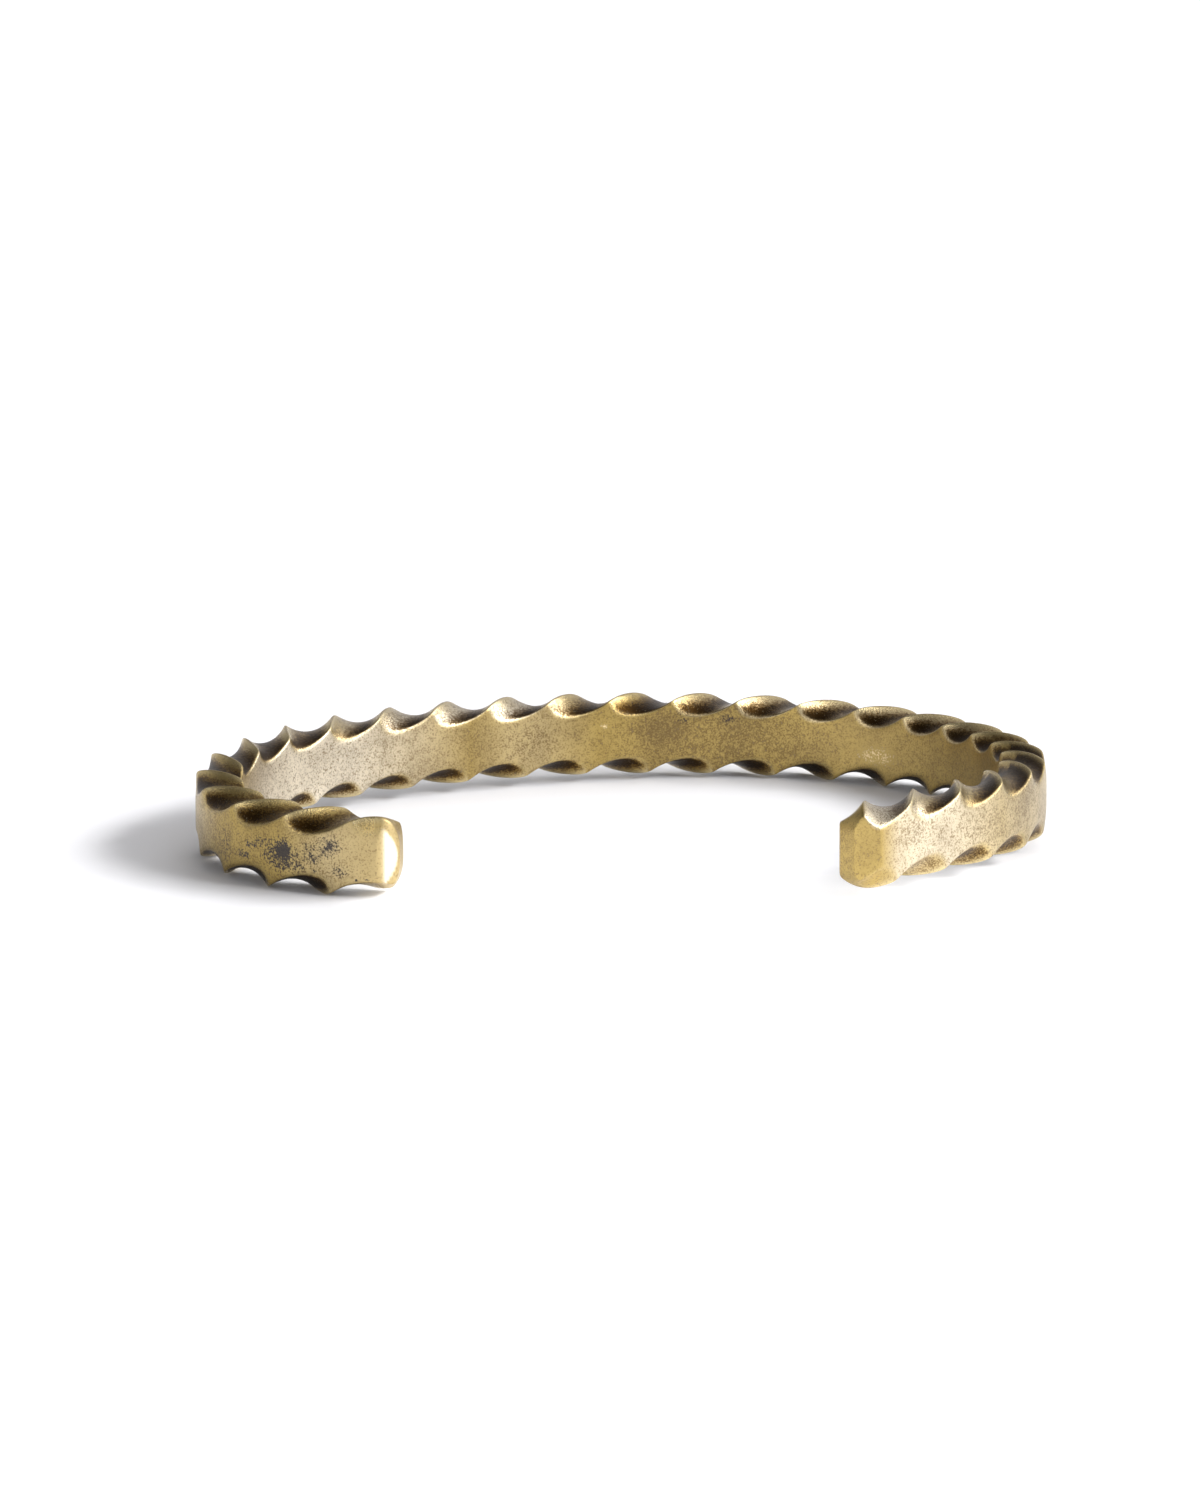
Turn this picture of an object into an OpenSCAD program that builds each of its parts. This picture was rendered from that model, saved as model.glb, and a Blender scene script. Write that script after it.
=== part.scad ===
// Open bangle: a square brass bar, twisted, bent to an oval and ground flat inside and outside.
// Seen from above, the bar runs clockwise from the left tip, round the back, to the right tip.

/* [Bar] */
// Side of the square bar before it is twisted
bar_side = 4.6; // [3.6:0.1:7]
// Depth ground off the side of the bar that faces the wrist
inner_ground = 0.6; // [0.1:0.05:1.4]
// Depth ground off the side of the bar that faces outwards
outer_ground = 0.4; // [0.1:0.05:1.4]

/* [Twist] */
// Mean distance along the bar from one ridge to the next
ridge_gap = 5.16; // [3.5:0.02:9]
// Distance along the bar from the left tip to its first whole ridge
first_ridge = 6.75; // [5.5:0.05:8.5]
// Length at the left tip that is left untwisted
left_plain_len = 1.7; // [0.2:0.1:3]
// Length after it over which the twist sets in
left_fade_len = 2.4; // [0.6:0.1:3.5]

/* [Bend] */
// Mean radius to which the axis of the bar is bent
bend_r = 25.7; // [20:0.1:36]
// Angle through which the bar is bent, from tip to tip
wrap = 317; // [270:1:335]
// Angle between the middle of the bar and the left-right line
back_turn = 7.3; // [-15:0.1:15]
// Height by which the corners of the bent bar are sprung out of flat
spring = 1; // [0:0.05:1.5]
// Height by which the right tip is bent down
right_droop = 0.5; // [0:0.05:0.8]
// Length of the bar that is bent down towards the right tip
right_droop_len = 9; // [4:0.5:14]

/* [Tips] */
// Length of the rounded corners at the left tip
left_corner_len = 1.9; // [0.6:0.1:3]
// Height of the left tip's end between its rounded corners
left_end_height = 1; // [0.4:0.1:4]
// Length of the rounded corners at the right tip
right_corner_len = 2.2; // [0.6:0.1:3]
// Height of the right tip's end between its rounded corners
right_end_height = 2.7; // [0.4:0.1:4]
// Length of the bevel between each tip and the outer face
bevel_len = 1.6; // [0.4:0.1:3]
// Depth of that bevel at the tip
bevel_depth = 1.2; // [0.2:0.1:1.6]
// Length and depth of the small bevel on the wrist side of each tip
inner_bevel = 0.4; // [0.1:0.1:1]

/* [Wear] */
// Height worn off the lowest ridges, where they rub on a table
foot_wear = 0.12; // [0.02:0.02:0.3]

/* [Hidden] */

brass = "#b59a56";

// One row for each stretch of the bar. The columns are its place, as a share of the way from the
// left tip to the right one, how tightly it is bent, and how far apart its ridges are, both as
// shares of their means.
place = 0;
tightness = 1;
spacing = 2;
stretches = [
  [0.000, 1.50, 0.975], // left tip
  [0.125, 1.67, 0.995], // left arm, the tightest bend
  [0.250, 1.07, 0.995], // left side
  [0.375, 0.38, 1.015], // left of the back, nearly straight
  [0.500, 0.65, 1.055], // middle of the back
  [0.625, 1.36, 1.025], // right of the back
  [0.750, 0.77, 0.995], // right side
  [0.875, 1.33, 0.970], // right arm
  [1.000, 0.06, 0.955], // right tip, nearly straight
];
last_stretch = len(stretches) - 1;

// Slope at which the sprung bar rests, on its left arm and on the right of its back
rest_slope = 0.02;

// Rings of points between one ridge and the next, and over each rounded tip
rings_per_ridge = 10;
tip_rings = 6;
// Least room between a column of points and the edge of a ground face, in columns
edge_room = 0.4;

half_side = bar_side / 2;
ridge_r = half_side * sqrt(2);
inner_n = half_side - inner_ground;
outer_n = half_side - outer_ground;
ring_turn = 90 / rings_per_ridge;

bar_len = bend_r * wrap * PI / 180;
ridges = bar_len / ridge_gap;
first_u = 1 - first_ridge / ridge_gap;
last_u = first_u + ridges;
fade = left_fade_len / ridge_gap;
plain_u = first_u + left_plain_len / ridge_gap;
twisted_u = plain_u + fade;

function pairs(key) = [for (row = stretches) [row[place], row[key]]];
function way(u) = (u - first_u) / ridges;
function span(u, key) = lookup(way(u), pairs(key));

// Twist at the place u, in quarter turns. It equals u, but for the left end: towards the tip its rate
// falls evenly to nothing over the fade. fade_place finds the place in the fade from the twist there.
function twist(u) = let (d = min(max(twisted_u - u, 0), fade)) max(u, plain_u) + d * d / (2 * fade);
function fade_place(t) = plain_u + sqrt(max(fade * fade - 2 * fade * (twisted_u - t), 0));

// v[0], v[0] + v[1], v[0] + v[1] + v[2], and so on
function running_sum(v) =
  [for (i = 0, sum = v[0]; i < len(v); i = i + 1, sum = sum + (i < len(v) ? v[i] : 0)) sum];

// v[i] times the mean of w at i and at the entry before it
function trapezoids(v, w) = [for (i = [0 : len(v) - 1]) v[i] * (w[i] + w[max(i - 1, 0)]) / 2];

// Rings crowd towards a tip, so that its rounded corners come out as an arc
function tip_step(i, corner_len) = corner_len / ridge_gap * (1 - cos(90 * i / tip_rings));

left_end = [for (i = [0 : tip_rings]) first_u + tip_step(i, left_corner_len)];
right_end = [for (i = [tip_rings : -1 : 0]) last_u - tip_step(i, right_corner_len)];
first_full = ceil(twist(left_end[tip_rings]) * rings_per_ridge + 0.5);
last_full = floor(right_end[0] * rings_per_ridge - 0.5);

// Each ring is given by its place u, counted in ridges, which is 1 at the first whole one. They are
// even steps of twist apart, so a ridge runs through the corners of the rings' cells
even_twists = [for (i = [first_full : last_full]) i / rings_per_ridge];
fade_start = left_plain_len > left_corner_len + inner_bevel / 4 ? [plain_u] : [];
twisting = [for (t = even_twists) t < twisted_u ? fade_place(t) : t];
rings = concat(left_end, fade_start, twisting, right_end);
last_ring = len(rings) - 1;
ring_ids = [0 : last_ring];

// Distance of each ring along the bar from the left tip
u_steps = [for (i = ring_ids) i == 0 ? 0 : rings[i] - rings[i - 1]];
stretched = running_sum(trapezoids(u_steps, [for (u = rings) span(u, spacing)]));
distances = [for (s = stretched) s * bar_len / stretched[last_ring]];
steps = [for (i = ring_ids) i == 0 ? 0 : distances[i] - distances[i - 1]];

// Heading of each ring: the tightness summed along the bar, scaled so that the sum is the wrap
bent = running_sum(trapezoids(steps, [for (u = rings) span(u, tightness)]));
turned = [for (b = bent) b * wrap / bent[last_ring]];
middle_turned = lookup((first_u + last_u) / 2, [for (i = ring_ids) [rings[i], turned[i]]]);
headings = [for (t = turned) back_turn + middle_turned - t];

// Axis of the bar, seen from above
axis_x = running_sum(trapezoids(steps, [for (a = headings) cos(a)]));
axis_y = running_sum(trapezoids(steps, [for (a = headings) sin(a)]));

function middle(v) = (max(v) + min(v)) / 2;
function half_range(v) = (max(v) - min(v)) / 2;

// The sprung bar is a saddle: opposite corners of the oval go up and down together
mid_x = middle(axis_x);
mid_y = middle(axis_y);
half_w = half_range(axis_x);
half_d = half_range(axis_y);
function lift(x, y) =
  let (a = (x - mid_x) / half_w, b = (y - mid_y) / half_d)
  spring * (rest_slope * (a - b) - a * b);

// Height of the twisted square above its axis, n outwards from it, at the twist t. It is the lower
// of the two sides that face up, where a side that leans by phi is (half_side - n cos) / sin high.
level_side = 0.001;
function side_height(n, phi) = (half_side - n * cos(phi)) / max(sin(phi), level_side);
function bar_height(n, t) =
  let (phi = 45 - 90 * (t - floor(t)), lean = phi < 0 ? phi + 90 : phi)
  min(side_height(n, lean), side_height(n, lean + 90));

// Columns of points across the bar, as shares of the way from the inner face to the outer one
inner_columns = floor(asin(inner_n / ridge_r) / ring_turn - edge_room);
outer_columns = floor(asin(outer_n / ridge_r) / ring_turn - edge_room);
columns_n = concat(-inner_n, [for (i = [-inner_columns : outer_columns]) ridge_r * sin(i * ring_turn)], outer_n);
across = [for (n = columns_n) (n + inner_n) / (inner_n + outer_n)];
column_count = len(across);

// Share of a rounded corner or bevel that is cut away, e from the tip: all at the tip, none at len
function arc_cut(e, len) = e >= len ? 0 : 1 - sqrt(1 - pow(1 - e / len, 2));
function bevel_cut(e, len) = max(1 - e / len, 0);

// One ring in the plane of the bar's section: [n, z] over the top from inside to outside, and back
// along the bottom, which is the top turned half round
function section(i) =
  let (
    t = twist(rings[i]),
    left = distances[i],
    right = bar_len - left,
    tip = min(left, right),
    n_in = inner_n - inner_bevel * bevel_cut(tip, inner_bevel),
    n_out = outer_n - bevel_depth * bevel_cut(tip, bevel_len),
    left_cut = (ridge_r - left_end_height / 2) * arc_cut(left, left_corner_len),
    right_cut = (ridge_r - right_end_height / 2) * arc_cut(right, right_corner_len),
    highest = ridge_r - max(left_cut, right_cut),
    top = [for (c = across) let (n = -n_in + c * (n_in + n_out)) [n, min(bar_height(n, t), highest)]],
    bottom = [for (p = top) [p[0], -min(bar_height(-p[0], t), highest)]]
  )
  concat(top, [for (j = [column_count - 1 : -1 : 0]) bottom[j]]);

// The right end droops by a parabola
function droop(i) = right_droop * pow(max(1 - (bar_len - distances[i]) / right_droop_len, 0), 2);

function sprung_ring(i) =
  [for (p = section(i))
    let (x = axis_x[i] - p[0] * sin(headings[i]), y = axis_y[i] + p[0] * cos(headings[i]))
    [x, y, p[1] + lift(x, y) - droop(i)]];

sprung = [for (i = ring_ids) each sprung_ring(i)];
table_z = min([for (p = sprung) p[2]]) + foot_wear;
centre = [middle([for (p = sprung) p[0]]), middle([for (p = sprung) p[1]])];
cuff_points = [for (p = sprung) [p[0] - centre[0], p[1] - centre[1], p[2] - table_z]];

// Triangles between two rings share the diagonal that a ridge follows
ring_size = 2 * column_count;
function cell(i, j) =
  let (a = i * ring_size + j, b = i * ring_size + (j + 1) % ring_size)
  [[a, b, b + ring_size], [a, b + ring_size, a + ring_size]];
left_cap = [for (j = [ring_size - 1 : -1 : 0]) j];
right_cap = [for (j = [0 : ring_size - 1]) last_ring * ring_size + j];
cuff_faces = concat(
  [left_cap, right_cap],
  [for (i = [0 : last_ring - 1], j = [0 : ring_size - 1]) each cell(i, j)]
);

// The space above the table: what would lie lower is worn off the ridges
module above_table() {
  block = 4 * bend_r;
  translate([-block / 2, -block / 2, 0]) cube(block);
}

module cuff() {
  color(brass) intersection() {
    polyhedron(points = cuff_points, faces = cuff_faces, convexity = 8);
    above_table();
  }
}

cuff();
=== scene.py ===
# Open bangle of twisted square brass bar on a white table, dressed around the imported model.
import bpy
import math
import numpy as np
from mathutils import Matrix, Vector


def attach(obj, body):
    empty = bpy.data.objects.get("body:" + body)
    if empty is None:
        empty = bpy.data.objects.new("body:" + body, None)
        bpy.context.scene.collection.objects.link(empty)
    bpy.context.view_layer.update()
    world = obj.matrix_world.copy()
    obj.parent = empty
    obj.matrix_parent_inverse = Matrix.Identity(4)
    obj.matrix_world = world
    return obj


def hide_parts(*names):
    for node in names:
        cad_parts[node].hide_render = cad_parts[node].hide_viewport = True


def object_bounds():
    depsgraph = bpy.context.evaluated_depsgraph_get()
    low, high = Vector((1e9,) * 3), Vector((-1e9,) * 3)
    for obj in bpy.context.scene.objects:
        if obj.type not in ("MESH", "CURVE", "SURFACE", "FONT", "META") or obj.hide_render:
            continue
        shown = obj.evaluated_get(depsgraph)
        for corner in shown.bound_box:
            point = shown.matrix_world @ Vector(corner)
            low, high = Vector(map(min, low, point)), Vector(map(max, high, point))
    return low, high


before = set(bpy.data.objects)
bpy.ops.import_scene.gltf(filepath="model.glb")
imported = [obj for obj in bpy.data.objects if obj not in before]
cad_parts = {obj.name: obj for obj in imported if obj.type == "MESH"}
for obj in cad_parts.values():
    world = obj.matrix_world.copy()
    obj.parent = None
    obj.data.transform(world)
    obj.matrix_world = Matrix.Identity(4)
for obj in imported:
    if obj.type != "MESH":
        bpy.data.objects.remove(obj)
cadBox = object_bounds()
print("frame loaded")

scene = bpy.context.scene
mm = 0.001


# Camera

cameraPlace = {
    "aimX": -1.68,  # mm, point at the middle of the picture
    "aimZ": 6.72,
    "turn": 0.27,  # degrees, 0 looks along +Y
    "tilt": 11.23,  # degrees above the table
    "roll": -0.34,
    "distance": 534,  # mm
    "lens": 205.6,  # mm, for a frame 36 mm wide
    "frameWidth": 36,
}


def makeCamera(place):
    # the camera stands back from its aim along the line of sight, and rolls about that line
    turn, tilt, roll = (math.radians(place[key]) for key in ("turn", "tilt", "roll"))
    sight = Vector((math.sin(turn) * math.cos(tilt), math.cos(turn) * math.cos(tilt), -math.sin(tilt)))
    level = Vector((math.cos(turn), -math.sin(turn), 0))
    upright = level.cross(sight)
    right = level * math.cos(roll) + upright * math.sin(roll)
    up = upright * math.cos(roll) - level * math.sin(roll)
    aim = Vector((place["aimX"], 0, place["aimZ"]))
    data = bpy.data.cameras.new("camera")
    data.sensor_fit = "HORIZONTAL"
    data.sensor_width = place["frameWidth"]
    data.lens = place["lens"]
    data.clip_start = 0.01
    data.clip_end = 50
    camera = bpy.data.objects.new("camera", data)
    scene.collection.objects.link(camera)
    turned = Matrix((right, up, -sight)).transposed().to_4x4()
    camera.matrix_world = Matrix.Translation((aim - sight * place["distance"]) * mm) @ turned
    scene.camera = camera


makeCamera(cameraPlace)
print("camera placed")


# Cuff: the shape

cuffSizes = {
    "barSide": 4.84,  # mm, as all lengths here; 0.24 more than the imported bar, for the rounding takes it off
    "innerGround": 0.72,
    "outerGround": 0.52,
    "ridgeGap": 5.16,
    "firstRidge": 6.75,
    "leftPlain": 1.7,
    "leftFade": 2.4,
    "bendR": 25.7,
    "wrap": 317,  # degrees
    "backTurn": 7.3,  # degrees
    "spring": 1.0,
    "restSlope": 0.02,
    "rightDroop": (0.5, 9),  # height and length
    "leftCorner": (1.9, 1.0),  # length, and height of the end between the corners
    "rightCorner": (2.2, 2.7),
    "bevelLen": 1.6,
    "bevelDepth": 1.2,
    "bevelSetIn": 1 / 3,  # share of the bevel's length over which it sets in along a parabola
    "innerBevel": 0.4,
    "footWear": 0.12,
    # share of the way from the left tip to the right one, tightness of the bend, spacing of the ridges
    "stretches": [
        (0.000, 1.50, 0.975),
        (0.125, 1.67, 0.995),
        (0.250, 1.07, 0.995),
        (0.375, 0.38, 1.015),
        (0.500, 0.65, 1.055),
        (0.625, 1.36, 1.025),
        (0.750, 0.77, 0.995),
        (0.875, 1.33, 0.970),
        (1.000, 0.06, 0.955),
    ],
    "endRound": 0.4,  # radius, and the share of it that the rounding takes off the ground faces
    "endRoundShare": 0.6,
    "ridgeSharpness": 26,  # powers of the blends that round the ridges, and the edges of the ground faces
    "edgeSharpness": 18,
    "rings": 930,
    "tipRings": 16,  # closer rings at either tip, over four times the radius of its end
    "ringRoom": 0.1,  # least gap between them and the others
    "capRings": 6,
    "capHole": 0.04,  # size of the last ring of a cap, as a share of the end's
    "columns": 100,
    "turnWeight": 0.9,  # how strongly columns crowd at the edges
    "courseSteps": 4001,  # steps in which the course of the bar is summed
    "angleSteps": 2881,  # and the length round its section
}


def runningSum(values, places):
    # area under values up to each place, by trapezoids
    return np.concatenate([[0], np.cumsum((values[1:] + values[:-1]) / 2 * np.diff(places))])


def barCourse(size):
    # distance is summed from the ridges' spacing, the heading from the tightness, the axis from the heading,
    # and the twist is u, with a parabola where it sets in after the plain left tip
    barLen = size["bendR"] * math.radians(size["wrap"])
    ridges = barLen / size["ridgeGap"]
    firstU = 1 - size["firstRidge"] / size["ridgeGap"]
    u = np.linspace(firstU, firstU + ridges, size["courseSteps"])
    share = (u - firstU) / ridges
    places, tightness, spacing = np.array(size["stretches"]).T
    distance = runningSum(np.interp(share, places, spacing), u)
    distance *= barLen / distance[-1]
    bent = runningSum(np.interp(share, places, tightness), distance)
    turned = bent * size["wrap"] / bent[-1]
    heading = np.radians(size["backTurn"] + np.interp(u.mean(), u, turned) - turned)
    axisX = runningSum(np.cos(heading), distance)
    axisY = runningSum(np.sin(heading), distance)
    plainU = firstU + size["leftPlain"] / size["ridgeGap"]
    fade = size["leftFade"] / size["ridgeGap"]
    twist = np.maximum(u, plainU) + np.clip(plainU + fade - u, 0, fade) ** 2 / (2 * fade)
    course = {"twist": twist, "distance": distance, "heading": heading, "x": axisX, "y": axisY}
    return {**course, "barLen": barLen}


def tipCuts(size, left, right):
    # a quarter ellipse takes the corners off, and straight lines the bevels on both ground faces
    near = np.minimum(left, right)
    corner = np.zeros_like(near)
    for away, (length, endHeight) in ((left, size["leftCorner"]), (right, size["rightCorner"])):
        share = np.clip(1 - away / length, 0, 1)
        drop = size["barSide"] / math.sqrt(2) - endHeight / 2
        corner = np.maximum(corner, drop * (1 - np.sqrt(1 - share**2)))
    # the outer bevel sets in along a parabola, whose slope at its end is that of the straight line after it
    share = np.clip(1 - near / size["bevelLen"], 0, 1)
    setIn = size["bevelSetIn"]
    slope = np.where(share < setIn, share**2 / (2 * setIn), share - setIn / 2)
    bevel = size["bevelDepth"] * slope / (1 - setIn / 2)
    innerBevel = np.clip(1 - near / size["innerBevel"], 0, 1) * size["innerBevel"]
    # a quarter circle rounds the end all round
    r = size["endRound"]
    inset = r - np.sqrt(r * r - np.clip(r - near, 0, r) ** 2)
    faceInset = inset * size["endRoundShare"]
    return np.maximum(corner, inset), bevel + faceInset, innerBevel + faceInset


def sectionRadius(size, angle, twist, corner, bevel, innerBevel):
    # 1/r is the power sum of cos(angle - side) / distance over the sides, so the edges come out round: first
    # over the twisted sides, and then over their sum and the ground faces
    half = size["barSide"] / 2
    flat = np.zeros_like(twist)
    highest = half * math.sqrt(2) - corner
    twisted = [(np.radians(45 - 90 * twist + 90 * k), half) for k in range(4)]
    ground = [
        (flat, half - size["outerGround"] - bevel),
        (flat + math.pi, half - size["innerGround"] - innerBevel),
        (flat + math.pi / 2, highest),
        (flat - math.pi / 2, highest),
    ]

    def powerSum(terms, power):
        return sum(np.clip(term, 0, None) ** power for term in terms) ** (1 / power)

    bar = powerSum([np.cos(angle - side) / away for side, away in twisted], size["ridgeSharpness"])
    faces = [np.cos(angle - side) / away for side, away in ground]
    return 1 / powerSum([bar, *faces], size["edgeSharpness"])


def evenAngles(size, twist, corner, bevel, innerBevel):
    # angles of the columns: even in length and in turn round the section, so they crowd at the edges
    fine = np.linspace(0, 2 * math.pi, size["angleSteps"])[None, :]
    column = [v[:, None] for v in (twist, corner, bevel, innerBevel)]
    radius = sectionRadius(size, fine, *column)
    n, z = radius * np.cos(fine), radius * np.sin(fine)
    dn, dz = np.diff(n, axis=1), np.diff(z, axis=1)
    length = np.hypot(dn, dz)
    facing = np.unwrap(np.arctan2(dz, dn), axis=1)
    turn = np.abs(np.gradient(facing, axis=1))
    weight = length / length.sum(1, keepdims=True) + size["turnWeight"] * turn / turn.sum(1, keepdims=True)
    along = np.concatenate([np.zeros((len(twist), 1)), np.cumsum(weight, axis=1)], axis=1)
    steps = np.arange(size["columns"]) / size["columns"]
    return np.array([np.interp(steps * row[-1], row, fine[0]) for row in along])


def cuffSurface(size):
    # rings run along the bar, crowded at the tips, and columns run round its section
    course = barCourse(size)
    left = np.linspace(0, course["barLen"], size["rings"])
    crowded = 4 * size["endRound"] * np.linspace(0, 1, size["tipRings"] + 1)[:-1] ** 2
    clear = crowded[-1] + size["ringRoom"]
    middleRings = left[(left > clear) & (left < course["barLen"] - clear)]
    left = np.concatenate([crowded, middleRings, course["barLen"] - crowded[::-1]])
    right = course["barLen"] - left
    twist = np.interp(left, course["distance"], course["twist"])
    cuts = tipCuts(size, left, right)
    angle = evenAngles(size, twist, *cuts)
    radius = sectionRadius(size, angle, twist[:, None], *[c[:, None] for c in cuts])
    n, z = radius * np.cos(angle), radius * np.sin(angle)

    # the caps shrink the last rings towards their middles
    shrink = np.linspace(1, size["capHole"], size["capRings"] + 1)[1:, None]

    def cap(k):
        middleN, middleZ = n[k].mean(), z[k].mean()
        return middleN + (n[k] - middleN) * shrink, middleZ + (z[k] - middleZ) * shrink

    startN, startZ = cap(0)
    endN, endZ = cap(-1)
    n = np.concatenate([startN[::-1], n, endN])
    z = np.concatenate([startZ[::-1], z, endZ])
    pad = size["capRings"]
    left = np.concatenate([np.full(pad, left[0]), left, np.full(pad, left[-1])])
    twist = np.concatenate([np.full(pad, twist[0]), twist, np.full(pad, twist[-1])])

    heading = np.interp(left, course["distance"], course["heading"])[:, None]
    x = np.interp(left, course["distance"], course["x"])[:, None] - n * np.sin(heading)
    y = np.interp(left, course["distance"], course["y"])[:, None] + n * np.cos(heading)

    # the sprung bar is a saddle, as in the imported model
    midX, midY = ((course[k].max() + course[k].min()) / 2 for k in "xy")
    halfW, halfD = ((course[k].max() - course[k].min()) / 2 for k in "xy")
    a, b = (x - midX) / halfW, (y - midY) / halfD
    height = z + size["spring"] * (size["restSlope"] * (a - b) - a * b)

    # the right end droops by a parabola
    droop, droopLen = size["rightDroop"]
    height = height - droop * np.clip(1 - (course["barLen"] - left[:, None]) / droopLen, 0, 1) ** 2
    points = np.stack([x, y, height], axis=-1)
    return points, {"twist": twist, "left": left, "n": n, "z": z}


def settle(points, box, footWear):
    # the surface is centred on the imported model's box, and its lowest ridges are worn flat on the table
    low, high = np.array(box[0]) / mm, np.array(box[1]) / mm
    flat = points.reshape(-1, 3)
    middle = (flat.max(0) + flat.min(0)) / 2
    points = points - [middle[0], middle[1], flat[:, 2].min() + footWear]
    points[..., 0] += (low[0] + high[0]) / 2
    points[..., 1] += (low[1] + high[1]) / 2
    points[..., 2] = np.maximum(points[..., 2], low[2])
    return np.clip(points, low, high)


def gridMesh(name, points):
    # quads between neighbouring rings, with one small face at either end
    rings, columns = points.shape[:2]
    k, j = np.meshgrid(np.arange(rings - 1) * columns, np.arange(columns), indexing="ij")
    after = (j + 1) % columns
    quads = np.stack([k + j, k + columns + j, k + columns + after, k + after], axis=-1)
    ends = [list(range(columns)), list(range((rings - 1) * columns, rings * columns))[::-1]]
    mesh = bpy.data.meshes.new(name)
    mesh.from_pydata(points.reshape(-1, 3) * mm, [], quads.reshape(-1, 4).tolist() + ends)
    mesh.update()
    piece = bpy.data.objects.new(name, mesh)
    scene.collection.objects.link(piece)
    mesh.shade_smooth()
    return piece


# Cuff: marks that follow the photograph

cuffMarks = {
    # ground face, distance from the left tip and height over the axis, half length and half height, strength;
    # all lengths in mm
    "stain": [
        ("outer", 8.5, 0.0, 0.85, 0.95, 1.2),
        ("outer", 8.7, -0.3, 1.6, 1.35, 0.8),
        ("outer", 7.5, -1.0, 0.9, 0.4, 0.7),
        ("outer", 6.3, 0.0, 1.4, 1.0, 0.42),
        ("outer", 6.0, -0.1, 0.7, 0.4, 0.7),
        ("outer", 4.8, 0.7, 0.4, 0.42, 1.1),
        ("outer", 4.85, 0.75, 0.95, 0.95, 0.58),
        ("outer", 4.1, -1.1, 0.8, 0.5, 0.5),
        ("outer", 10.3, 0.4, 1.1, 0.5, 0.58),
        ("outer", 11.5, 0.05, 0.6, 0.35, 0.7),
        ("outer", 12.3, -0.8, 0.8, 0.4, 0.7),
        ("outer", 14.6, -0.6, 1.2, 1.3, 0.33),
        ("outer", 5.9, -1.3, 0.14, 0.12, 1.1),
        ("outer", 2.9, -1.75, 0.12, 0.12, 1.1),
        ("outer", 2.1, -1.7, 0.12, 0.12, 1.0),
        ("inner", 73.3, 1.5, 0.6, 0.4, 0.5),
        ("inner", 77.2, 1.5, 0.9, 0.5, 0.45),
    ],
    "brown": [
        ("outer", 14.6, -0.5, 1.4, 1.6, 0.5),
        # painted shade: this row darkens the far left of the outer face, where it reflects the shadow on the
        # table
        ("outer", 17.5, 0.0, 3.0, 2.5, 0.4),
        ("outer", 10.0, -0.3, 3.5, 1.6, 0.25),
        ("outer", 137.7, 0.5, 1.6, 1.1, 0.35),
        ("outer", 129.5, -0.5, 3.0, 1.5, 0.45),
        ("outer", 125.5, 0.4, 3.5, 2.0, 0.3),
        ("inner", 77.0, 0.0, 9.0, 3.0, 0.6),
        ("inner", 71.8, 0.6, 3.2, 1.6, 0.9),
        ("inner", 77.5, 0.8, 2.2, 1.5, 0.7),
        ("inner", 60.0, 0.0, 2.0, 1.2, 0.35),
        ("inner", 84.0, 0.3, 2.5, 2.0, 0.4),
        ("inner", 99.0, 0.0, 6.0, 3.0, 0.2),
    ],
    # painted glints: small bright spots that stand in for highlights
    "paintedGlint": [
        ("inner", 66.6, 0.8, 0.5, 0.16, 1.0),
        ("inner", 91.0, -0.6, 2.2, 0.8, 0.45),
    ],
    # ground face, or the top of the twisted sides; where the pale tint starts, is full, fades and ends;
    # strength. On the ground faces the tint is pale wear and painted sheen, on the tops a painted highlight at
    # the crests
    "paleAndSheen": [
        ("inner", 24, 31, 43, 55, 1.0),
        ("outer", -1, 0, 5, 9, 0.25),
        ("top", 40, 46, 60, 66, 0.9),
        ("top", 134, 138, 142, 143, 1.0),
        ("outer", 96, 112, 127, 134, 0.35),
        ("outer", 124, 134, 139.0, 140.6, 0.75),
        ("inner", 54, 58, 61, 66, 0.2),
        ("top", 68, 78, 100, 108, 0.5),
        ("outer", 15, 19, 27, 36, 0.15),
    ],
}


def markAmount(rows, side, left, z):
    # each mark is exp(-r^4), where r is 1 at the edge of its ellipse
    amount = np.zeros(np.broadcast(left, z).shape)
    for face, distance, height, halfLen, halfHeight, strength in rows:
        r2 = ((left - distance) / halfLen) ** 2 + ((z - height) / halfHeight) ** 2
        amount = np.maximum(amount, strength * np.exp(-r2 * r2) * side[face])
    return amount


def paleAmount(rows, side, left, z):
    # each row rises and falls in straight lines along the bar
    amount = np.zeros(np.broadcast(left, z).shape)
    for face, start, full, last, end, strength in rows:
        ramp = np.interp(left, (start, full, last, end), (0, 1, 1, 0))
        amount = np.maximum(amount, strength * ramp * side[face])
    return amount


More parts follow.
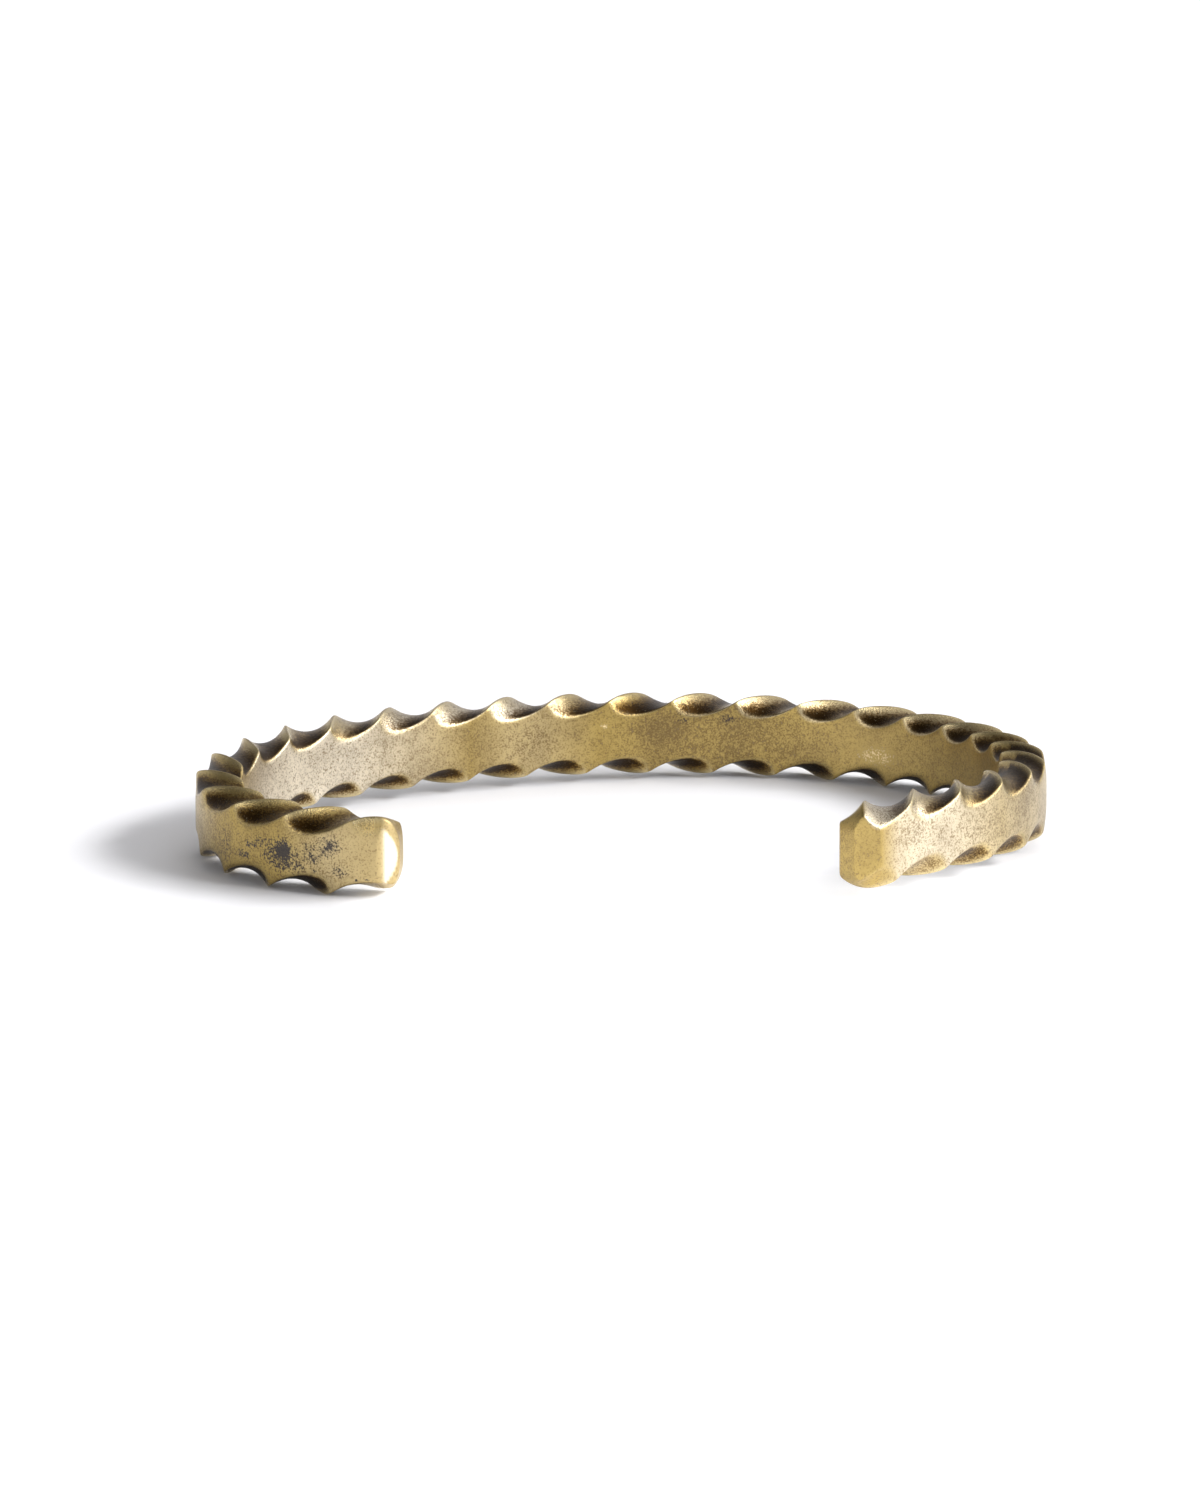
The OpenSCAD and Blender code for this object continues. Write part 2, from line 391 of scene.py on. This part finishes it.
cuffWear = {
    # all lengths in mm; one row for each stretch where the finish is rubbed off one side of the hollows:
    # distances from the left tip, shares rubbed off there, places across a hollow, which are -1 at its ridge
    # nearer to the left tip and 1 at the other one, shares there
    "rubbedTop": [
        ((18, 24), (0.9, 0), (-0.7, 0.5), (1, 0)),  # left arm
        ((36, 43, 62, 68), (0, 0.8, 0.8, 0), (-0.3, 0.5), (1, 0)),  # left of the back
        ((72, 78, 98, 103), (0, 0.9, 0.9, 0), (-0.2, 0.5), (0, 1)),  # right of the back
    ],
    "rubbedArm": ((100, 112), (0, 1), (-0.55, 0.4), (0, 1)),  # right arm
    "rubbedBottom": ((22, 30, 100, 108), (0, 1, 1, 0), (0.1, 0.95), (0, 0.75)),
    "cleanBottom": ((100, 108, 132, 138), (0, 0.5, 0.5, 1)),  # right arm, on both sides of the hollows
    "armSide": -0.5,  # how far inwards from the axis the right arm's wear reaches
    "hollowDepth": (0.4, 1.4),  # below the ridges' tops, where the dark finish starts and is full
    "bottomExtra": 0.35,  # depth that hollows at the bottom count as having besides
    "armDark": 0.8,  # least dark finish on the right arm's hollows, where it isn't rubbed off
    "ridgeClear": 0.45,  # distance from a ridge within which the dark finish is thin
    "flatStart": (0.03, 0.15),  # depth below a twisted side at which a ground face starts and is full
    "sideEnd": 0.06,  # and at which the twisted side is gone
    "tipFade": (2.2, 5.0),  # from a tip, where its polish starts to fade and is gone
    "tipPolish": 0.7,
    "rightTipShare": 0.4,  # the right tip's polish, as a share of the left one's
    "crests": ((2.2, 3.0), (0, 0.8)),  # heights over the axis, and the polish there
    "backRightSheen": ((82, 90, 104, 110), (0, 0.6, 0.6, 0)),  # distances from the left tip, and the painted sheen there, which lightens a face that reflects dark surroundings
    "facetN": (0.2, 0.5),  # place of the left tip's bevel, painted as a bright highlight: distance outwards from the axis
    "facetStart": (0.1, 0.85, 2.15),  # where it starts in the middle, its bow, and its half height
    "facetEnd": 1.08,
    "facetSoft": 0.1,
    "rimWidth": 0.14,
    "rimStart": 0.5,  # distance from a tip
    "rimStretch": 1.4,  # how much narrower a rim is on a ground face
    "ridgeWidth": 0.4,
    "ridgeDepth": 0.05,  # below the twisted side
    "endBrown": (0.35, 0.05),  # strength on the right tip's end, and how far it reaches from there
    "paleOnSides": 0.3,  # share of the ground faces' pale wear and painted sheen that reaches the twisted sides
}


def finishMasks(size, wear, places, marks):
    # flats: ground faces; hollow: 1 in the deepest parts of the twisted sides, 0 at their ridges; the rims and
    # ridges: edges rubbed bright, with painted highlights along them;
    # and a pale tint that is pale wear and painted sheen on the ground faces, and a painted highlight on the
    # tops
    # calm: where the grain is fainter; the marks: stains, brown marks with one row of painted shade, painted
    # glints,
    # the facet: a painted highlight on the left tip's bevel; the polish: tips and crests rubbed bright, and
    # painted sheen on the right of the back;
    n, z = places["n"], places["z"]
    left = places["left"][:, None]
    half = size["barSide"] / 2
    sides = np.radians(45 - 90 * places["twist"][:, None, None] + 90 * np.arange(4))
    outwards = n[..., None] * np.cos(sides) + z[..., None] * np.sin(sides)
    along = -n[..., None] * np.sin(sides) + z[..., None] * np.cos(sides)
    nearest = outwards.argmax(-1)[..., None]
    sideGap = half - np.take_along_axis(outwards, nearest, -1)[..., 0]
    signedAlong = np.take_along_axis(along, nearest, -1)[..., 0]
    ridgeGap = half - np.abs(signedAlong)
    outerGap = half - size["outerGround"] - n
    innerGap = half - size["innerGround"] + n
    onFlat = np.interp(sideGap, wear["flatStart"], (0, 1))
    tip = np.minimum(left, left.max() - left)
    across = signedAlong / half
    onArm = n > wear["armSide"]

    def rubbedShare(distances, shares, acrossPlaces, acrossShares):
        return np.interp(left, distances, shares) * np.interp(across, acrossPlaces, acrossShares)

    # each hollow at the top is rubbed on the side nearer to the tip of its own half
    rubbedTop = np.maximum.reduce([
        rubbedShare(*wear["rubbedArm"]) * onArm,
        *[rubbedShare(*row) for row in wear["rubbedTop"]],
    ])
    rubbed = np.where(z > 0, rubbedTop, rubbedShare(*wear["rubbedBottom"]) * (z < 0))
    below = half * math.sqrt(2) - np.abs(z) + wear["bottomExtra"] * (z < 0)
    depth = np.interp(below, wear["hollowDepth"], (0, 1))
    rightArm = np.interp(left, *wear["rubbedArm"][:2]) * onArm
    depth = np.maximum(depth, wear["armDark"] * rightArm) * (1 - rubbed)
    depth = depth * (1 - np.interp(left, *wear["cleanBottom"]) * onArm * (z < 0))
    nearRidge = np.exp(-((ridgeGap / wear["ridgeClear"]) ** 2))
    hollow = depth * (1 - nearRidge) * (1 - np.clip(sideGap / wear["sideEnd"], 0, 1))
    hollow = hollow * np.interp(tip, wear["tipFade"], (0, 1))

    # rims and ridges: edges rubbed bright, with painted highlights along them
    onGround = sideGap * wear["rimStretch"]
    onSides = np.minimum(ridgeGap, np.minimum(outerGap, innerGap))
    edgeGap = np.where(sideGap > wear["flatStart"][0], onGround, onSides)
    rimWearAndGlint = np.exp(-((np.abs(edgeGap) / wear["rimWidth"]) ** 2)) * (tip > wear["rimStart"])
    ridge = np.exp(-((ridgeGap / wear["ridgeWidth"]) ** 2)) * (sideGap < wear["ridgeDepth"])

    # tips and crests rubbed bright, and painted sheen on the right of the back
    tips = np.interp(tip, wear["tipFade"], (wear["tipPolish"], 0))
    crest = np.interp(z, *wear["crests"]) * (1 - onFlat)
    backRightSheen = np.interp(left, *wear["backRightSheen"]) * onFlat * (n < 0)
    tipPolish = tips * np.where(left > left.max() / 2, wear["rightTipShare"], 1)

    # a painted highlight on the left tip's bevel
    facetStart, facetBow, facetHalf = wear["facetStart"]
    facetHighlight = np.interp(n, wear["facetN"], (0, 1))
    facetHighlight = facetHighlight * np.clip((left - facetStart - facetBow * (z / facetHalf) ** 2) / wear["facetSoft"], 0, 1)
    facetHighlight = facetHighlight * np.clip((wear["facetEnd"] - left) / wear["facetSoft"], 0, 1)

    side = {"outer": (n > 0) * 1.0, "inner": (n < 0) * 1.0, "top": (z > 0) * (1 - onFlat)}
    brown = markAmount(marks["brown"], side, left, z) * onFlat
    endShare, endReach = wear["endBrown"]
    endBrown = endShare * (left > left.max() - endReach)
    # pale wear and painted sheen on the ground faces, and a painted highlight on the tops of the twisted sides
    groundPaleAndSheen = paleAmount([row for row in marks["paleAndSheen"] if row[0] != "top"], side, left, z)
    groundPaleAndSheen = groundPaleAndSheen * (wear["paleOnSides"] + (1 - wear["paleOnSides"]) * onFlat)
    topHighlight = paleAmount([row for row in marks["paleAndSheen"] if row[0] == "top"], side, left, z)
    return {
        "flats": np.clip(onFlat + (tip < size["bevelLen"]), 0, 1),
        "facetHighlight": facetHighlight,
        "polishAndSheen": np.maximum(tipPolish, np.maximum(crest, backRightSheen)),
        "calm": np.maximum(tips, crest),
        "hollow": hollow,
        "rimWearAndGlint": rimWearAndGlint,
        "ridge": ridge,
        "stain": markAmount(marks["stain"], side, left, z) * onFlat,
        "brown": np.maximum(brown, endBrown),
        "paintedGlint": markAmount(marks["paintedGlint"], side, left, z) * onFlat,
        "paleAndSheen": np.maximum(groundPaleAndSheen, topHighlight),
    }


def makeCuff():
    points, places = cuffSurface(cuffSizes)
    points = settle(points, cadBox, cuffSizes["footWear"])
    piece = gridMesh("twistedCuff", points)
    for name, values in finishMasks(cuffSizes, cuffWear, places, cuffMarks).items():
        attribute = piece.data.attributes.new(name, "FLOAT", "POINT")
        attribute.data.foreach_set("value", np.ascontiguousarray(values, dtype=np.float32).ravel())
    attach(piece, "root")
    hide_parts("cuff")
    return piece


cuff = makeCuff()
print("cuff made:", len(cuff.data.polygons), "faces")


# Cuff: the finish, with painted highlights, sheen and shade on it

brassLook = {
    # colours, from the bare metal to what lies on it
    "gold": (0.465, 0.335, 0.108),
    # the pale colour serves pale wear, painted sheen and painted highlights
    "paleAndSheen": (0.86, 0.78, 0.635),
    "speckle": (0.12, 0.085, 0.045),
    "brown": (0.17, 0.115, 0.055),
    "umber": (0.23, 0.125, 0.030),
    "patina": (0.030, 0.014, 0.003),
    "stain": (0.026, 0.026, 0.036),
    # the rim colour: edges rubbed bright, and painted highlights along them
    "rimWearAndGlint": (0.85, 0.72, 0.42),
    # the facet colour is a painted highlight on the left tip's bevel
    "facetHighlight": (0.88, 0.80, 0.60),
    "glint": (0.98, 0.80, 0.45),
    # the polish colour: tips and crests rubbed bright, and painted sheen on the right of the back
    "polishAndSheen": (0.64, 0.48, 0.20),
    # how much of each covers what is under it
    "paleShare": 0.9,
    "cloudShare": 0.25,
    "speckleShare": (0.55, 0.38),  # on plain and on pale or calm metal
    "calmShare": 0.4,  # of these, at the crests
    "brownShare": 0.75,
    "polishShare": 0.5,
    "umberShare": 0.8,
    "patinaShare": 0.97,
    "rimShare": 0.15,
    "ridgeShare": 0.7,
    "stainShare": 0.9,
    # depth of the hollow's mask at which each starts and is full
    "umberDepth": (0.05, 0.4),
    "patinaDepth": (0.18, 0.62),
    # waves per metre of the noises
    "fine": 6800,  # grains of about 0.15 mm
    "coarse": 2100,  # of about 0.5 mm
    "cloud": 260,  # of about 4 mm
    "dents": 420,  # of about 2 mm
    "fineInGrain": 0.72,  # share of the fine noise in the grain, whose rest is the coarse one
    "cloudInGrain": 0.05,
    "speckleRange": (0.44, 0.64),  # of the grain, where dark grains start and are full
    "noiseSpread": (0.35, 0.65),  # nearly all of a noise lies within it
    "markBreak": 0.5,  # how much the grain breaks up the marks, and the dark finish
    "wornBreak": 0.25,
    # strength at which a mark starts and is full
    "stainEdge": (0.35, 0.85),
    "brownEdge": (0.1, 1.0),
    "paintedGlintEdge": (0.4, 0.9),
    # gloss
    "roughSides": 0.24,
    "roughFlats": (0.3, 0.42),
    "roughDark": 0.36,
    "roughFacet": 0.2,
    "stainMetallic": 0.6,
    "relief": (0.5, 0.35, 1.6),  # heights of the coarse noise, the pits of the dark grains and the dents
    "reliefStrength": 0.55,
    "reliefDepth": 0.00006,  # metres
}


def addNode(tree, kind, inputs=None, **settings):
    # a node with its settings; each input is a value or another node's socket
    made = tree.nodes.new("ShaderNode" + kind)
    for key, value in settings.items():
        setattr(made, key, value)
    for key, value in (inputs or {}).items():
        socket = made.inputs[key]
        if isinstance(value, bpy.types.NodeSocket):
            tree.links.new(value, socket)
        else:
            socket.default_value = value
    return made


def math2(tree, operation, a, b):
    return addNode(tree, "Math", {0: a, 1: b}, operation=operation).outputs[0]


def ramp(tree, value, low, high, start=0.0, end=1.0):
    # straight from start to end as the value goes from low to high, and level outside
    inputs = {"Value": value, "From Min": low, "From Max": high, "To Min": start, "To Max": end}
    return addNode(tree, "MapRange", inputs, clamp=True).outputs[0]


def blend(tree, share, a, b):
    # colour a where the share is 0, and b where it is 1
    made = addNode(tree, "Mix", data_type="RGBA")
    for socket, value in zip((made.inputs[0], made.inputs[6], made.inputs[7]), (share, a, b)):
        if isinstance(value, bpy.types.NodeSocket):
            tree.links.new(value, socket)
        else:
            socket.default_value = (*value, 1) if isinstance(value, tuple) else value
    return made.outputs[2]


def makeBrass(look):
    material = bpy.data.materials.new("antiquedBrass")
    material.use_nodes = True
    tree = material.node_tree
    shader = tree.nodes["Principled BSDF"]
    place = addNode(tree, "TexCoord").outputs["Object"]

    def mask(name):
        return addNode(tree, "Attribute", attribute_name=name).outputs["Fac"]

    def noise(perMetre, detail=2.0, rough=0.5):
        inputs = {"Vector": place, "Scale": perMetre, "Detail": detail, "Roughness": rough}
        return addNode(tree, "TexNoise", inputs).outputs["Fac"]

    flats, hollow, rimWearAndGlint, ridge, paleAndSheen, facetHighlight, polishAndSheen, calm = (
        mask(name) for name in ("flats", "hollow", "rimWearAndGlint", "ridge", "paleAndSheen", "facetHighlight", "polishAndSheen", "calm")
    )
    fine = noise(look["fine"], 2, 0.65)
    coarse = noise(look["coarse"], 3, 0.6)
    cloud = noise(look["cloud"], 3)

    # dark grains lie close together where the cloud is high
    fineShare = look["fineInGrain"]
    grain = math2(tree, "MULTIPLY", fine, fineShare)
    grain = math2(tree, "ADD", grain, math2(tree, "MULTIPLY", coarse, 1 - fineShare))
    pull = ramp(tree, cloud, 0.3, 0.7, -look["cloudInGrain"], look["cloudInGrain"])
    speckle = ramp(tree, math2(tree, "ADD", grain, pull), *look["speckleRange"])

    # a mark breaks up into grains where its strength falls
    markGrain = ramp(tree, grain, 0.36, 0.64, -look["markBreak"], look["markBreak"])

    def grainy(name):
        return ramp(tree, math2(tree, "ADD", mask(name), markGrain), *look[name + "Edge"])

    stain = math2(tree, "MULTIPLY", grainy("stain"), look["stainShare"])
    brown = math2(tree, "MULTIPLY", grainy("brown"), look["brownShare"])
    # painted glints
    paintedGlint = grainy("paintedGlint")

    # dark finish is left in the hollows, thin towards the ridges, and a little grainy
    spread = look["noiseSpread"]
    worn = ramp(tree, grain, *spread, -look["wornBreak"], look["wornBreak"])
    depth = math2(tree, "ADD", hollow, worn)
    umber = ramp(tree, depth, *look["umberDepth"], 0.0, look["umberShare"])
    patina = ramp(tree, depth, *look["patinaDepth"], 0.0, look["patinaShare"])

    paleOrCalm = math2(tree, "MAXIMUM", calm, paleAndSheen)
    speckled = math2(tree, "MULTIPLY", speckle, ramp(tree, paleOrCalm, 0, 1, *look["speckleShare"]))
    speckled = math2(tree, "MULTIPLY", speckled, ramp(tree, calm, 0, 0.8, 1.0, look["calmShare"]))

    # the layers from the bare metal up: each covers what is under it by its share
    layers = [
        (ramp(tree, cloud, *spread, 0.0, look["cloudShare"]), "brown"),
        (speckled, "speckle"),
        (brown, "brown"),
        # tips and crests rubbed bright, and painted sheen on the right of the back
        (math2(tree, "MULTIPLY", polishAndSheen, look["polishShare"]), "polishAndSheen"),
        (umber, "umber"),
        (patina, "patina"),
        # edges rubbed bright, and painted highlights along the rims and ridges
        (math2(tree, "MULTIPLY", rimWearAndGlint, look["rimShare"]), "rimWearAndGlint"),
        (math2(tree, "MULTIPLY", ridge, look["ridgeShare"]), "rimWearAndGlint"),
        # painted glints
        (paintedGlint, "glint"),
        (stain, "stain"),
        # the painted highlight on the left tip's bevel
        (facetHighlight, "facetHighlight"),
    ]
    # first the pale tint: pale wear, painted sheen and painted highlights
    color = blend(tree, math2(tree, "MULTIPLY", paleAndSheen, look["paleShare"]), look["gold"], look["paleAndSheen"])
    for share, layer in layers:
        color = blend(tree, share, color, look[layer])
    tree.links.new(color, shader.inputs["Base Color"])

    dark = math2(tree, "MAXIMUM", patina, stain)
    tree.links.new(ramp(tree, stain, 0, 1, 1.0, look["stainMetallic"]), shader.inputs["Metallic"])
    flatRough = ramp(tree, grain, *spread, *look["roughFlats"])
    rough = addNode(tree, "Mix", {0: flats, 2: look["roughSides"], 3: flatRough}).outputs[0]
    rough = addNode(tree, "Mix", {0: dark, 2: rough, 3: look["roughDark"]}).outputs[0]
    rough = addNode(tree, "Mix", {0: facetHighlight, 2: rough, 3: look["roughFacet"]}).outputs[0]
    tree.links.new(rough, shader.inputs["Roughness"])

    # pits of the grains and a faint unevenness from the hammer and the file
    coarseHigh, pitDeep, dentHigh = look["relief"]
    height = math2(tree, "MULTIPLY", coarse, coarseHigh)
    height = math2(tree, "SUBTRACT", height, math2(tree, "MULTIPLY", speckle, pitDeep))
    height = math2(tree, "ADD", height, math2(tree, "MULTIPLY", noise(look["dents"], 1), dentHigh))
    relief = {"Height": height, "Strength": look["reliefStrength"], "Distance": look["reliefDepth"]}
    bump = addNode(tree, "Bump", relief)
    tree.links.new(bump.outputs["Normal"], shader.inputs["Normal"])
    return material


cuff.data.materials.append(makeBrass(brassLook))
print("brass made")


# Table and light

studio = {
    "table": (0.60, 0.60, 0.615),
    "tableRoughness": 0.7,
    "tableReach": 4,  # metres from the middle
    "glow": 0.02,  # light that the table itself gives, as if through frosted glass
    "frontGlow": 0.55,  # and what it gives besides at the tips, where the photograph has no shadow
    "frontX": (-0.022, -0.014),  # metres, where that starts and is full, to the right and to the front
    "frontY": (-0.008, -0.02),
    # side: degrees from the back to the right; height and width: degrees; a light that isn't inMetal lights
    # the table alone, and one that isn't onTable the metal alone
    "keySides": (80, 99, 118),
    "key": {"height": 33, "width": 15, "strength": 1.8, "inMetal": False},
    "backLight": {"side": 8, "height": 38, "width": 45, "strength": 1.05, "inMetal": False},
    "rimLight": {"side": 70, "height": 23, "width": 32, "strength": 0.75},
    "topLight": {"side": 122, "height": 50, "width": 46, "strength": 1.2, "onTable": False},
    "fillLight": {"side": 222, "height": 24, "width": 40, "strength": 0.4},
    "panel": {"side": 114, "height": 24, "away": 0.5, "size": (0.32, 0.28), "power": 0.95},
    "horizon": 0.66,
    "ceiling": (0.17, 0.78),  # brightness of the ceiling at the left and at the right
    "ceilingX": (-0.35, 0.45),  # of the direction, where these two end and start
    "wallTop": (0.2, 0.7),  # height of the direction at which the walls end and the ceiling is full
    "tint": (0.98, 0.975, 1.0),
}


def makeTable(look):
    data = bpy.data.meshes.new("table")
    r = look["tableReach"]
    data.from_pydata([(-r, -r, 0), (r, -r, 0), (r, r, 0), (-r, r, 0)], [], [(0, 1, 2, 3)])
    table = bpy.data.objects.new("table", data)
    scene.collection.objects.link(table)
    material = bpy.data.materials.new("whiteTable")
    material.use_nodes = True
    tree = material.node_tree
    shader = tree.nodes["Principled BSDF"]
    shader.inputs["Base Color"].default_value = (*look["table"], 1)
    shader.inputs["Roughness"].default_value = look["tableRoughness"]
    place = addNode(tree, "SeparateXYZ", {0: addNode(tree, "TexCoord").outputs["Object"]})
    toRight = ramp(tree, place.outputs["X"], *look["frontX"])
    toFront = ramp(tree, place.outputs["Y"], *look["frontY"])
    front = math2(tree, "MULTIPLY", toRight, toFront)
    light = math2(tree, "ADD", math2(tree, "MULTIPLY", front, look["frontGlow"]), look["glow"])
    white = addNode(tree, "CombineColor", {0: light, 1: light, 2: light})
    tree.links.new(white.outputs[0], shader.inputs["Emission Color"])
    shader.inputs["Emission Strength"].default_value = 1
    data.materials.append(material)


def addLight(name, data, side, height):
    # a light that shines towards the middle, side degrees clockwise from the back, seen from above
    side, height = math.radians(side), math.radians(height)
    toLight = Vector((math.sin(side) * math.cos(height), math.cos(side) * math.cos(height), math.sin(height)))
    light = bpy.data.objects.new(name, data)
    light.rotation_euler = toLight.to_track_quat("Z", "Y").to_euler()
    scene.collection.objects.link(light)
    return light, toLight


def makeSun(name, side, height, width, strength, inMetal=True, onTable=True):
    # a round softbox far away
    data = bpy.data.lights.new(name, "SUN")
    data.energy = strength
    data.angle = math.radians(width)
    light, toLight = addLight(name, data, side, height)
    light.visible_glossy = inMetal
    light.visible_diffuse = onTable


def makePanel(name, side, height, away, size, power):
    data = bpy.data.lights.new(name, "AREA")
    data.shape = "RECTANGLE"
    data.size, data.size_y = size
    data.energy = power
    light, toLight = addLight(name, data, side, height)
    light.location = toLight * away


def makeWorld(look):
    # white walls all round, and a ceiling that is dark at the left: horizon (1 - t) + ceiling t, where t
    # rises with the height of the direction
    world = bpy.data.worlds.new("studio")
    world.use_nodes = True
    tree = world.node_tree
    direction = addNode(tree, "TexCoord").outputs["Generated"]
    part = addNode(tree, "SeparateXYZ", {0: direction})
    high = ramp(tree, part.outputs["Z"], *look["wallTop"])
    overhead = ramp(tree, part.outputs["X"], *look["ceilingX"], *look["ceiling"])
    wall = math2(tree, "MULTIPLY", math2(tree, "SUBTRACT", 1.0, high), look["horizon"])
    brightness = math2(tree, "ADD", wall, math2(tree, "MULTIPLY", high, overhead))
    back = tree.nodes["Background"]
    back.inputs["Color"].default_value = (*look["tint"], 1)
    tree.links.new(brightness, back.inputs["Strength"])
    scene.world = world


makeTable(studio)
for keySide in studio["keySides"]:
    makeSun("keySun", keySide, **studio["key"])
makeSun("backSun", **studio["backLight"])
makeSun("rimSun", **studio["rimLight"])
makeSun("topSun", **studio["topLight"])
makeSun("fillSun", **studio["fillLight"])
makePanel("sidePanel", **studio["panel"])
makeWorld(studio)
scene.view_settings.view_transform = "Standard"
print("table and light made")
